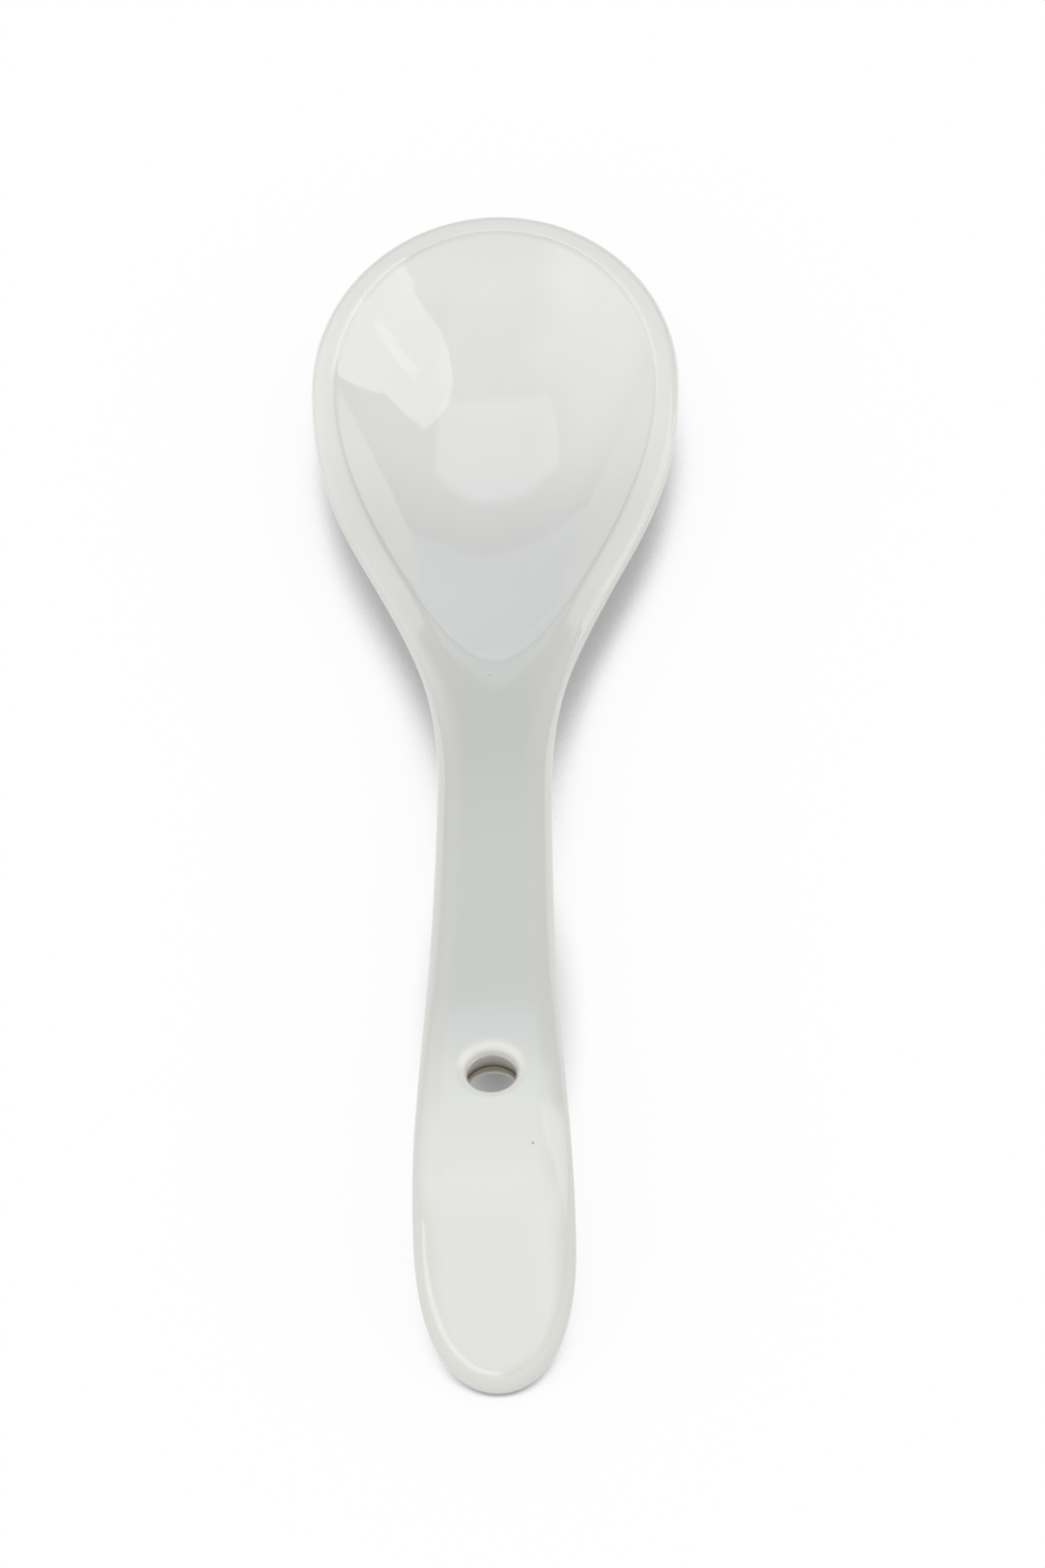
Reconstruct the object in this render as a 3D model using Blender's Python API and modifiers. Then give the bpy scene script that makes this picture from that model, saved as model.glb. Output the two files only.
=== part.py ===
"""A porcelain sugar spoon: a fired body and the glaze that coats it.

The spoon lies on the table on a small flat under its bowl and on the end of its arched handle.
Both pieces come from one skin, which is first drawn flat and then bent along the line of the
handle. X is across, the bowl is at +Y, the handle at -Y, and the table is Z = 0.
"""

import math

import bmesh
import bpy
from mathutils import Vector
from mathutils.geometry import interpolate_bezier

# Sizes of the glazed spoon, in metres. "At" is a distance along its top from the front of the bowl,
# and "from tip" is a distance back along its top from the end of the handle.

# Line of the top, seen from the side: a little down along the rim of the bowl, up along the neck,
# level where the handle arches over, and down from the crest to the tip
SPOON_LENGTH = 0.1357
RIM_HEIGHT = 0.0113
NECK_BEND_FROM_FRONT = 0.0502
NECK_BEND_HEIGHT = 0.0074
NECK_BEND_RADIUS = 0.032
ARCH_TO_CREST = 0.0144
ARCH_OVER_CREST = 0.0005
ARCH_RADIUS = 0.050
CREST_TO_TIP = 0.0145
CREST_HEIGHT = 0.0176
CREST_RADIUS = 0.0143
TIP_HEIGHT = 0.00138

# Outline, seen from above
BOWL_WIDTH = 0.0360
BOWL_WIDEST_AT = 0.0212
SHOULDER_PULL = 0.0240
WAIST_WIDTH = 0.0106
WAIST_AT = 0.0734
WAIST_PULL_TO_BOWL = 0.0276
WAIST_PULL_TO_TIP = 0.0349
PADDLE_WIDTH = 0.0142
PADDLE_WIDEST_FROM_TIP = 0.0138
PADDLE_PULL = 0.0163
TIP_PULL_ALONG = 0.0132
TIP_PULL_ACROSS = 0.0013

# Hollow of the bowl
RIM_WIDTH = 0.0020
HOLLOW_DEPTH = 0.0072
HOLLOW_DEEPEST_AT = 0.0218
HOLLOW_APEX_AT = 0.0577
HOLLOW_APEX_SPREAD = 0.0085
HOLLOW_FULLNESS = 2.5
HOLLOW_TAPER = 0.7
HOLLOW_APEX_SHARE = 0.23
HOLLOW_JOIN = 0.0040
HOLLOW_EDGE_BLEND = 0.0005

# Thickness, edges and underside
WAIST_THICKNESS = 0.0052
TIP_THICKNESS = 0.0045
FOOT_RADIUS = 0.0040
KEEL_PULL = 0.0185
UNDERSIDE_FLAT = 0.0014
RIM_EDGE_WIDTH = 0.0011
RIM_EDGE_DROP = 0.0009
HANDLE_EDGE_WIDTH = 0.0030
HANDLE_EDGE_DROP = 0.0016
HANDLE_CROWN = 0.0004
BOWL_BELLY = 0.80
HANDLE_BELLY = 0.60

# Hole for hanging the spoon, through the handle
HOLE_FROM_TIP = 0.0304
BORE_DIAMETER = 0.0043
BORE_LIP = 0.0012

# Glaze
GLAZE_THICKNESS = 0.00025
GLAZE_GAP = 0.00005
GLAZE_INTO_BORE = 0.0004

# Steps of the mesh, and how its rows of points are spaced
CURVE_STEPS = 200
FRONT_RIBS = 9
SIDE_RIBS = 14
NECK_RIBS = 9
HOLE_RIBS = 8
END_RIBS = 4
TIP_RIBS = 7
HOLLOW_STEPS = 7
EDGE_STEPS = 3
UNDER_STEPS = 6
LIP_STEPS = 3
RIB_SLANT = 0.0030
APEX_CROWDING = 0.7
EDGE_CROWDING = 1.6
EDGE_TRIES = 8
TOP_ROW = 0.4
LEAST_LEDGE = 0.02
MERGE_DISTANCE = 0.00001

RIM_SLOPE = (RIM_HEIGHT - NECK_BEND_HEIGHT) / NECK_BEND_FROM_FRONT
CREST_FROM_FRONT = SPOON_LENGTH - CREST_TO_TIP
FOOT_BACK_AT = HOLLOW_DEEPEST_AT + FOOT_RADIUS
HALF_BOWL = BOWL_WIDTH / 2
HALF_WAIST = WAIST_WIDTH / 2
HALF_PADDLE = PADDLE_WIDTH / 2
BORE_RADIUS = BORE_DIAMETER / 2
MOUTH_RADIUS = BORE_RADIUS + BORE_LIP


def ease(start, stop, value):
    """0 before start, 1 after stop, and a smooth rise between."""
    t = min(1.0, max(0.0, (value - start) / (stop - start)))
    return t * t * (3 - 2 * t)


def blend(first, second, share):
    return first + (second - first) * share


def between(first, second, share):
    return blend(first[0], second[0], share), blend(first[1], second[1], share)


def line_of_top():
    """The straight and round pieces of the top line, each (length, heading, turn for each metre)."""
    corners = [
        (0.0, RIM_HEIGHT, 0.0),
        (NECK_BEND_FROM_FRONT, NECK_BEND_HEIGHT, NECK_BEND_RADIUS),
        (CREST_FROM_FRONT - ARCH_TO_CREST, CREST_HEIGHT + ARCH_OVER_CREST, ARCH_RADIUS),
        (CREST_FROM_FRONT, CREST_HEIGHT, CREST_RADIUS),
        (SPOON_LENGTH, TIP_HEIGHT, 0.0),
    ]
    pieces = []
    used = 0.0
    for here, there, after in zip(corners, corners[1:], corners[2:] + [None]):
        heading = math.atan2(there[1] - here[1], there[0] - here[0])
        reach = math.dist(here[:2], there[:2])
        if after is None:
            pieces.append((reach - used, heading, 0.0))
            break
        turn = math.atan2(after[1] - there[1], after[0] - there[0]) - heading
        trim = there[2] * math.tan(abs(turn) / 2)
        pieces.append((reach - used - trim, heading, 0.0))
        pieces.append((there[2] * abs(turn), heading, math.copysign(1 / there[2], turn)))
        used = trim
    return pieces


TOP_LINE = line_of_top()
TOP_LENGTH = sum(length for length, _, _ in TOP_LINE)
HOLE_AT = TOP_LENGTH - HOLE_FROM_TIP
PADDLE_AT = TOP_LENGTH - PADDLE_WIDEST_FROM_TIP


def bent(across, at, height):
    """The place of a point of the flat spoon once it is bent: across, along its top, above its top."""
    along, up = 0.0, RIM_HEIGHT
    for length, heading, turn in TOP_LINE:
        run = min(at, length)
        if (length, heading, turn) == TOP_LINE[-1]:
            run = at
        if turn:
            along += (math.sin(heading + turn * run) - math.sin(heading)) / turn
            up -= (math.cos(heading + turn * run) - math.cos(heading)) / turn
        else:
            along += run * math.cos(heading)
            up += run * math.sin(heading)
        at -= run
        if at <= 0:
            break
    tilt = heading + turn * run
    along -= height * math.sin(tilt)
    up += height * math.cos(tilt)
    return Vector((across, SPOON_LENGTH / 2 - along, up))


def bezier(start, pull_start, pull_end, end, count):
    points = [Vector((x, at, 0)) for x, at in (start, pull_start, pull_end, end)]
    return [(p.x, p.y) for p in interpolate_bezier(*points, count)]


def table_below(at):
    """Depth of the table below the top of the bowl, square to the top, so that the foot lies flat on it."""
    return RIM_HEIGHT * math.hypot(1, RIM_SLOPE) - at * RIM_SLOPE


SIDE_CURVE = bezier(
    (HALF_BOWL, BOWL_WIDEST_AT),
    (HALF_BOWL, BOWL_WIDEST_AT + SHOULDER_PULL),
    (HALF_WAIST, WAIST_AT - WAIST_PULL_TO_BOWL),
    (HALF_WAIST, WAIST_AT),
    CURVE_STEPS,
) + bezier(
    (HALF_WAIST, WAIST_AT),
    (HALF_WAIST, WAIST_AT + WAIST_PULL_TO_TIP),
    (HALF_PADDLE, PADDLE_AT - PADDLE_PULL),
    (HALF_PADDLE, PADDLE_AT),
    CURVE_STEPS,
)
KEEL_CURVE = bezier(
    (table_below(FOOT_BACK_AT), FOOT_BACK_AT),
    (table_below(FOOT_BACK_AT + KEEL_PULL), FOOT_BACK_AT + KEEL_PULL),
    (WAIST_THICKNESS, WAIST_AT - KEEL_PULL),
    (WAIST_THICKNESS, WAIST_AT),
    CURVE_STEPS,
)


def read_curve(curve, at):
    """The first value of a curve at a distance along the spoon."""
    for (value, start), (next_value, stop) in zip(curve, curve[1:]):
        if start <= at <= stop and stop > start:
            return blend(value, next_value, (at - start) / (stop - start))
    return curve[0][0] if at < curve[0][1] else curve[-1][0]


def thickness(at):
    """Depth of the underside below the top, along the middle."""
    if at < FOOT_BACK_AT:
        return table_below(at)
    if at < WAIST_AT:
        return read_curve(KEEL_CURVE, at)
    return blend(WAIST_THICKNESS, TIP_THICKNESS, (at - WAIST_AT) / (TOP_LENGTH - WAIST_AT))


def on_handle(at):
    """0 on the bowl and 1 on the handle, with a smooth change over the shoulder."""
    return ease(BOWL_WIDEST_AT + SHOULDER_PULL, WAIST_AT, at)


def soft_part(value):
    """The positive part of a length, with its corner at zero rounded so that the hollow has no crease."""
    return (value + math.hypot(value, HOLLOW_JOIN)) / 2


def hollow_spread(share):
    """Width scale of the hollow from its deepest place (0) to its apex (1)."""
    narrowing = (1 + HOLLOW_TAPER) * share**2 - HOLLOW_TAPER * share**3
    return blend(HALF_BOWL - RIM_WIDTH, HOLLOW_APEX_SPREAD, narrowing)


def hollow_reach(across, at):
    """How far out from the deepest place of the hollow a point is: 1 on its edge."""
    ahead = soft_part(HOLLOW_DEEPEST_AT - at) / (HOLLOW_DEEPEST_AT - RIM_WIDTH)
    behind = soft_part(at - HOLLOW_DEEPEST_AT) / (HOLLOW_APEX_AT - HOLLOW_DEEPEST_AT)
    return math.hypot(across / hollow_spread(min(behind, 1.0)), ahead, behind)


def hollow_edge(angle):
    """The edge of the hollow, from its front (0) past its widest place (pi / 2) to its apex (pi)."""
    share = -math.cos(angle)
    end = RIM_WIDTH if share < 0 else HOLLOW_APEX_AT
    middle = (0.0, HOLLOW_DEEPEST_AT)
    across = hollow_spread(max(share, 0.0)) * math.sin(angle)
    edge = (across, blend(HOLLOW_DEEPEST_AT, end, abs(share)))
    for _ in range(EDGE_TRIES):
        edge = between(middle, edge, 1 / hollow_reach(*edge))
    return edge


def hollow_depth(at):
    """Depth scale of the hollow: whole at its deepest place, and less towards its apex, where it runs out."""
    behind = soft_part(at - HOLLOW_DEEPEST_AT) / (HOLLOW_APEX_AT - HOLLOW_DEEPEST_AT)
    return HOLLOW_DEPTH * blend(1, HOLLOW_APEX_SHARE, min(behind, 1.0) ** 2)


def top_height(across, at):
    """Height over the top line before the outer edge is rounded: none, but less where the hollow is."""
    dish = hollow_depth(at) * (hollow_reach(across, at) ** HOLLOW_FULLNESS - 1)
    overlap = max(0.0, HOLLOW_EDGE_BLEND - abs(dish))
    return min(0.0, dish) - overlap**2 / (4 * HOLLOW_EDGE_BLEND)


def turn_at(at):
    """How fast the top line turns at a distance along it, in radians for each metre."""
    for length, _, turn in TOP_LINE:
        if at <= length:
            return turn
        at -= length
    return 0.0


def bore_point(angle, radius, depth):
    """A point round the axis of the bore, as (across, at), placed so that the bend leaves it round."""
    along = radius * math.cos(angle)
    squeeze = 1 + depth * turn_at(HOLE_AT - along / 2)
    return radius * math.sin(angle), HOLE_AT - along / squeeze


def beside(at):
    """The point of the outline at a distance along the spoon."""
    return read_curve(SIDE_CURVE, at), at


def bowl_ribs():
    """Ribs from the edge of the hollow, over the rim and down to the middle of the belly."""
    middle = (0.0, HOLLOW_DEEPEST_AT)
    lines = []
    for step in range(FRONT_RIBS):
        angle = math.pi / 2 * step / FRONT_RIBS
        outer = (HALF_BOWL * math.sin(angle), BOWL_WIDEST_AT * (1 - math.cos(angle)))
        lines.append((hollow_edge(angle), outer, middle, thickness(HOLLOW_DEEPEST_AT)))
    for step in range(SIDE_RIBS + 1):
        share = step / SIDE_RIBS
        angle = math.pi / 2 + math.asin(blend(share, math.sin(share * math.pi / 2), APEX_CROWDING))
        outer_at = blend(BOWL_WIDEST_AT, HOLLOW_APEX_AT + RIB_SLANT, -math.cos(angle))
        below_at = blend(HOLLOW_DEEPEST_AT, HOLLOW_APEX_AT + RIB_SLANT, -math.cos(angle))
        lines.append((hollow_edge(angle), beside(outer_at), (0.0, below_at), thickness(below_at)))
    return lines


def straight_ribs(start, stop, count, slant=0.0):
    """Ribs straight across the handle, between two places that have ribs of their own."""
    lines = []
    for step in range(1, count):
        at = blend(start + slant, stop, step / count)
        inner = (0.0, blend(start, stop, step / count))
        lines.append((inner, beside(at), (0.0, at), thickness(at)))
    return lines


def hole_ribs():
    """Ribs from the mouth of the hole to its other mouth, round the edge of the handle."""
    deep = thickness(HOLE_AT)
    lines = []
    for step in range(HOLE_RIBS + 1):
        angle = math.pi * step / HOLE_RIBS
        mouth = bore_point(angle, MOUTH_RADIUS, 0.0)
        lines.append((mouth, beside(mouth[1]), bore_point(angle, MOUTH_RADIUS, deep), deep))
    return lines


def tip_ribs():
    """Ribs that fan out round the end of the handle."""
    curve = bezier(
        (HALF_PADDLE, PADDLE_AT),
        (HALF_PADDLE, PADDLE_AT + TIP_PULL_ALONG),
        (TIP_PULL_ACROSS, TOP_LENGTH),
        (0.0, TOP_LENGTH),
        TIP_RIBS + 1,
    )
    middle = (0.0, PADDLE_AT)
    return [(middle, outer, middle, thickness(PADDLE_AT)) for outer in curve]


def crown_drop(out, handle):
    """Drop of the top by the crown of the handle, at a share of the way out from the middle line."""
    return HANDLE_CROWN * handle * out**2


def under_height(out, total, deep, handle):
    """Height of the underside at a distance out from the middle line, where the edge is at total."""
    flat = blend(FOOT_RADIUS, UNDERSIDE_FLAT, handle)
    belly = blend(BOWL_BELLY, HANDLE_BELLY, handle)
    edge = blend(RIM_EDGE_DROP, HANDLE_EDGE_DROP, handle) + crown_drop(1, handle)
    way = max(0.0, (out - flat) / (total - flat))
    return -edge - (deep - edge) * max(0.0, 1 - way**2) ** belly


def outer_rib(inner, outer, below, deep):
    """Points of one rib: across the top, round the edge and back along the underside."""
    handle = on_handle(outer[1])
    core = below[0]
    points = []

    total = core + math.dist(inner, outer)
    drop = blend(RIM_EDGE_DROP, HANDLE_EDGE_DROP, handle)
    edge = blend(RIM_EDGE_WIDTH, HANDLE_EDGE_WIDTH, handle)
    edge_start = max(LEAST_LEDGE, 1 - edge / math.dist(inner, outer))
    angles = [math.pi / 2 * step / EDGE_STEPS for step in range(EDGE_STEPS + 1)]
    rows = [(0.0, 0.0), (TOP_ROW * edge_start, 0.0)]
    rows += [(blend(edge_start, 1, math.sin(a)), drop * (1 - math.cos(a))) for a in angles]
    for way, lower in rows:
        across, at = between(inner, outer, way)
        crown = crown_drop(blend(core, total, way) / total, handle)
        points.append(bent(across, at, top_height(across, at) - crown - lower))

    total = core + math.dist(outer, below)
    flat = blend(FOOT_RADIUS, UNDERSIDE_FLAT, handle)
    for step in range(1, UNDER_STEPS + 1):
        out = blend(max(core, flat), total, math.cos(math.pi / 2 * step / UNDER_STEPS))
        across, at = between(below, outer, (out - core) / (total - core))
        deep_here = deep - (at - below[1]) * RIM_SLOPE * (1 - handle)
        points.append(bent(across, at, under_height(out, total, deep_here, handle)))
    points.append(bent(*below, under_height(core, total, deep, handle)))
    return points


def hollow_rib(edge):
    """Points of one rib of the hollow, from its deepest place to its edge."""
    points = []
    for step in range(HOLLOW_STEPS + 1):
        way = 1 - (1 - step / HOLLOW_STEPS) ** EDGE_CROWDING
        across, at = between((0.0, HOLLOW_DEEPEST_AT), edge, way)
        points.append(bent(across, at, top_height(across, at)))
    return points


def lip_ribs(angle, outer, below, deep):
    """Points from each mouth of the bore, over its lip and as far in as the glaze goes: top, underside."""
    rounds = [math.pi / 2 * step / LIP_STEPS for step in range(LIP_STEPS + 1)]
    rows = [(MOUTH_RADIUS - BORE_LIP * math.sin(r), BORE_LIP * (1 - math.cos(r))) for r in rounds]
    rows.append((BORE_RADIUS, BORE_LIP + GLAZE_INTO_BORE))
    handle = on_handle(outer[1])
    top_level = -crown_drop(below[0] / outer[0], handle)
    under_level = under_height(below[0], below[0] + math.dist(outer, below), deep, handle)
    top = []
    underside = []
    for radius, depth in rows:
        top.append(bent(*bore_point(angle, radius, depth), top_level - depth))
        underside.append(bent(*bore_point(angle, radius, deep - depth), under_level + depth))
    return top, underside


def add_sheet(mesh, found, grid):
    """Faces between neighbouring rows of points. Points in one place share a vertex."""

    def vertex(point):
        key = tuple(round(value, 7) for value in point)
        if key not in found:
            found[key] = mesh.verts.new(point)
        return found[key]

    for row, next_row in zip(grid, grid[1:]):
        for corners in zip(row, next_row, next_row[1:], row[1:]):
            corners = list(dict.fromkeys(vertex(point) for point in corners))
            if len(corners) > 2:
                mesh.faces.new(corners)


def half_skin(name, bare_bore):
    """One half of the glazed surface, with or without the wall of the bore between the glazed lips."""
    bowl = bowl_ribs()
    lines = (
        bowl
        + straight_ribs(HOLLOW_APEX_AT, HOLE_AT - MOUTH_RADIUS, NECK_RIBS, RIB_SLANT)
        + hole_ribs()
        + straight_ribs(HOLE_AT + MOUTH_RADIUS, PADDLE_AT, END_RIBS)
        + tip_ribs()
    )
    upper_lips = []
    under_lips = []
    for step, (_, outer, below, deep) in enumerate(hole_ribs()):
        top, underside = lip_ribs(math.pi * step / HOLE_RIBS, outer, below, deep)
        upper_lips.append(top[::-1])
        under_lips.append(underside)
    mesh = bmesh.new()
    found = {}
    add_sheet(mesh, found, [hollow_rib(edge) for edge, _, _, _ in bowl])
    add_sheet(mesh, found, [outer_rib(*line) for line in lines])
    add_sheet(mesh, found, under_lips)
    add_sheet(mesh, found, upper_lips)
    if bare_bore:
        add_sheet(mesh, found, [[low[-1], high[0]] for low, high in zip(under_lips, upper_lips)])
    data = bpy.data.meshes.new(name)
    mesh.to_mesh(data)
    mesh.free()
    data.shade_smooth()
    return data


def fired_material(name, colour, roughness):
    material = bpy.data.materials.new(name)
    material.use_nodes = True
    shader = material.node_tree.nodes["Principled BSDF"]
    shader.inputs["Base Color"].default_value = (*colour, 1)
    shader.inputs["Roughness"].default_value = roughness
    shader.inputs["Metallic"].default_value = 0.0
    return material


def add_piece(name, data, material, collection):
    """An object made of one half of the skin and its mirror image."""
    data.materials.append(material)
    piece = bpy.data.objects.new(name, data)
    collection.objects.link(piece)
    mirror = piece.modifiers.new("Other half", "MIRROR")
    mirror.merge_threshold = MERGE_DISTANCE
    return piece


def make_body(collection):
    """The fired body lies under the glaze, so it is the skin drawn in by the glaze and the gap."""
    material = fired_material("bare porcelain", (0.80, 0.77, 0.70), 0.75)
    body = add_piece("porcelain_body", half_skin("porcelain body", True), material, collection)
    inset = body.modifiers.new("Under the glaze", "DISPLACE")
    inset.direction = "NORMAL"
    inset.mid_level = 0.0
    inset.strength = -(GLAZE_THICKNESS + GLAZE_GAP)
    return body


def make_glaze(collection):
    """The glaze is the skin itself, given its thickness inwards. It ends inside both mouths of the bore."""
    material = fired_material("white glaze", (0.80, 0.80, 0.77), 0.10)
    glaze = add_piece("glaze_coat", half_skin("glaze coat", False), material, collection)
    coat = glaze.modifiers.new("Glaze thickness", "SOLIDIFY")
    coat.thickness = GLAZE_THICKNESS
    coat.offset = -1.0
    return glaze


def main():
    for thing in list(bpy.data.objects):
        bpy.data.objects.remove(thing, do_unlink=True)
    collection = bpy.data.collections.new("sugar_spoon")
    bpy.context.scene.collection.children.link(collection)
    centre = bpy.data.objects.new("spoon_centre", None)
    collection.objects.link(centre)
    pieces = [make_body(collection), make_glaze(collection)]
    for piece in pieces:
        piece.parent = centre
    ends = [vertex.co.y for vertex in pieces[1].data.vertices]
    centre.location.y = -(min(ends) + max(ends)) / 2


main()
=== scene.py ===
# %% [markdown]
# # A porcelain sugar spoon
# The real spoon is one casting of white porcelain under a clear, glossy glaze. Its packed solids
# already have the right size and form, but they are made of a few thousand flat facets, and a glossy
# glaze shows every one of them. This lesson draws the same skin again with fine steps, gives it the
# finish of fired glaze, and lights it so that the bowl shows the reflections of a room.

import math

import bmesh
import bpy
import numpy as np
from mathutils import Matrix, Quaternion, Vector


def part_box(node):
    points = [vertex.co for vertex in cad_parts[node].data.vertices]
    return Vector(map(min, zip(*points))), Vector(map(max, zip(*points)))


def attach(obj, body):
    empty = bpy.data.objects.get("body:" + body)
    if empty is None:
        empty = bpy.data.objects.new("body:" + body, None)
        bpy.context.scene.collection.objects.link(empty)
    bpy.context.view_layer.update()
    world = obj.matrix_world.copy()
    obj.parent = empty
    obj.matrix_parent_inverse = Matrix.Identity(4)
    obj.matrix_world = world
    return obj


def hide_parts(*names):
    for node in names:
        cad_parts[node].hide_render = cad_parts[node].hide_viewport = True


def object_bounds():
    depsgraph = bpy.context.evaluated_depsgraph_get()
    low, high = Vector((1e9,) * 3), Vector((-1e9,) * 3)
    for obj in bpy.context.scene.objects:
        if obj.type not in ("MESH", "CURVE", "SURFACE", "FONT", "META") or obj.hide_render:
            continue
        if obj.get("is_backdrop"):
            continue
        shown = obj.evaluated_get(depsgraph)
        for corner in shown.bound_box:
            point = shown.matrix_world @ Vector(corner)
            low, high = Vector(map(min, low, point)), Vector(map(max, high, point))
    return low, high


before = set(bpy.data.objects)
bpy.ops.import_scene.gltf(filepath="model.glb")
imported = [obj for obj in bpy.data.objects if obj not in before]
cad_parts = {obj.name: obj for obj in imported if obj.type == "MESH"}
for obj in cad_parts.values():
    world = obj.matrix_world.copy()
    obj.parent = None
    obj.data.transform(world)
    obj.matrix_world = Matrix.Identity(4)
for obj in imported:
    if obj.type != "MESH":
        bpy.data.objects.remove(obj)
cad_low, cad_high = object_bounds()
cad_sides = [round(side * 1000, 1) for side in cad_high - cad_low]
print("solids:", sorted(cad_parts), "box:", cad_sides, "mm")

# %% [markdown]
# ## The line of the top
# Seen from the side, the top of the spoon falls a little along the rim of the bowl, climbs along the
# neck, runs level where the handle arches over and falls to the tip, with round bends between the
# straight runs. The skin is drawn flat first and bent along this line later, so all that the drawing
# needs is how long the line is and how sharply it turns where the hole goes through.
#
# Sizes are in metres, and each step names those that it needs. They could be measured from the
# solids' points, as the width of the bowl is, but named sizes say what each one is for. "From front"
# is measured level, as on the table under the spoon. In later steps "at" is a distance along the top
# from the front of the bowl, and "from tip" is a distance back along it from the end of the handle.

# %% Runs and bends of the top line
SPOON_LENGTH = 0.1357
RIM_HEIGHT = 0.0113
NECK_BEND_FROM_FRONT = 0.0502
NECK_BEND_HEIGHT = 0.0074
NECK_BEND_RADIUS = 0.032
CREST_TO_TIP = 0.0145
CREST_HEIGHT = 0.0176
CREST_RADIUS = 0.0143
ARCH_TO_CREST = 0.0144
ARCH_OVER_CREST = 0.0005
ARCH_RADIUS = 0.050
TIP_HEIGHT = 0.00138

CREST_FROM_FRONT = SPOON_LENGTH - CREST_TO_TIP
TOP_CORNERS = {
    "Front": (0.0, RIM_HEIGHT, 0.0),
    "Neck": (NECK_BEND_FROM_FRONT, NECK_BEND_HEIGHT, NECK_BEND_RADIUS),
    "Arch": (CREST_FROM_FRONT - ARCH_TO_CREST, CREST_HEIGHT + ARCH_OVER_CREST, ARCH_RADIUS),
    "Crest": (CREST_FROM_FRONT, CREST_HEIGHT, CREST_RADIUS),
    "Tip": (SPOON_LENGTH, TIP_HEIGHT, 0.0),
}


def runs_of_top(corners):
    """Length of every straight run and round bend of the line, in order, and one over its radius."""
    along, height, radius = np.array(corners).T
    heading = np.arctan2(np.diff(height), np.diff(along))
    turn = np.concatenate([[0], np.diff(heading), [0]])
    cut = radius * np.tan(np.abs(turn) / 2)
    straight = np.hypot(np.diff(along), np.diff(height)) - cut[:-1] - cut[1:]
    lengths, turns = [straight[0]], [0.0]
    for place in range(1, len(straight)):
        lengths += [radius[place] * abs(turn[place]), straight[place]]
        turns += [math.copysign(1 / radius[place], turn[place]), 0.0]
    return np.array(lengths), np.array(turns)


run_lengths, run_turns = runs_of_top(list(TOP_CORNERS.values()))
TOP_LENGTH = run_lengths.sum()
RIM_SLOPE = (RIM_HEIGHT - NECK_BEND_HEIGHT) / NECK_BEND_FROM_FRONT


def turn_at(at):
    """How sharply the top line turns, as one over its radius: below zero where it arches."""
    return run_turns[np.searchsorted(run_lengths.cumsum()[:-1], at)]


print(f"top line {TOP_LENGTH * 1000:.2f} mm long, the rim falls 1 in {1 / RIM_SLOPE:.1f}")

# %% [markdown]
# ## The outline
# Two Bezier curves give the side of the spoon, from the widest place of the bowl past the waist to
# the paddle at the end. They could be curve objects, but the drawing asks how wide the spoon is at a
# distance along it, so each is kept as a fine run of points. Only the width of the bowl comes from
# the packed solids.

# %% Curves of the outline
glaze_low, glaze_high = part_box("glaze_coat")
HALF_BOWL = (glaze_high.x - glaze_low.x) / 2
BOWL_WIDEST_AT = 0.0212
SHOULDER_PULL = 0.0240
HALF_WAIST = 0.0053
WAIST_AT = 0.0734
WAIST_PULL_TO_BOWL = 0.0276
WAIST_PULL_TO_TIP = 0.0349
HALF_PADDLE = 0.0071
PADDLE_WIDEST_FROM_TIP = 0.0138
PADDLE_PULL = 0.0163
PADDLE_AT = TOP_LENGTH - PADDLE_WIDEST_FROM_TIP
CURVE_POINTS = 400


def blend(first, second, share):
    return first + (second - first) * share


def bezier(start, pull_start, pull_end, end, count=CURVE_POINTS):
    """Points of one Bezier curve, a row each."""
    t = np.linspace(0, 1, count)[:, None]
    weights = np.hstack([(1 - t) ** 3, 3 * t * (1 - t) ** 2, 3 * t**2 * (1 - t), t**3])
    return weights @ np.array([start, pull_start, pull_end, end])


shoulder_curve = bezier(
    (HALF_BOWL, BOWL_WIDEST_AT),
    (HALF_BOWL, BOWL_WIDEST_AT + SHOULDER_PULL),
    (HALF_WAIST, WAIST_AT - WAIST_PULL_TO_BOWL),
    (HALF_WAIST, WAIST_AT),
)
handle_curve = bezier(
    (HALF_WAIST, WAIST_AT),
    (HALF_WAIST, WAIST_AT + WAIST_PULL_TO_TIP),
    (HALF_PADDLE, PADDLE_AT - PADDLE_PULL),
    (HALF_PADDLE, PADDLE_AT),
)
side_curve = np.vstack([shoulder_curve, handle_curve[1:]])


def beside(at):
    """Points of the outline at these distances along the spoon."""
    return np.stack([np.interp(at, side_curve[:, 1], side_curve[:, 0]), at], axis=-1)


print(f"outline: {len(side_curve)} points, waist {2 * side_curve[:, 0].min() * 1000:.1f} mm wide")

# %% [markdown]
# ## The keel
# The keel is the lowest line of the underside, and it says how thick the spoon is along its middle.
# Under the bowl it follows the table, so that the spoon stands on a small flat foot. From there a
# third Bezier curve lifts it to the waist, and the handle thins evenly to its end. Spoons of this
# kind have such a foot, which keeps them from rocking, so it is drawn here although it is hidden.

# %% Thickness along the middle
HOLLOW_DEEPEST_AT = 0.0218
FOOT_RADIUS = 0.0040
FOOT_BACK_AT = HOLLOW_DEEPEST_AT + FOOT_RADIUS
KEEL_PULL = 0.0185
WAIST_THICKNESS = 0.0052
TIP_THICKNESS = 0.0045


def table_below(at):
    """Depth of the table below the top of the bowl, square to the top."""
    return RIM_HEIGHT * math.hypot(1, RIM_SLOPE) - at * RIM_SLOPE


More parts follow.
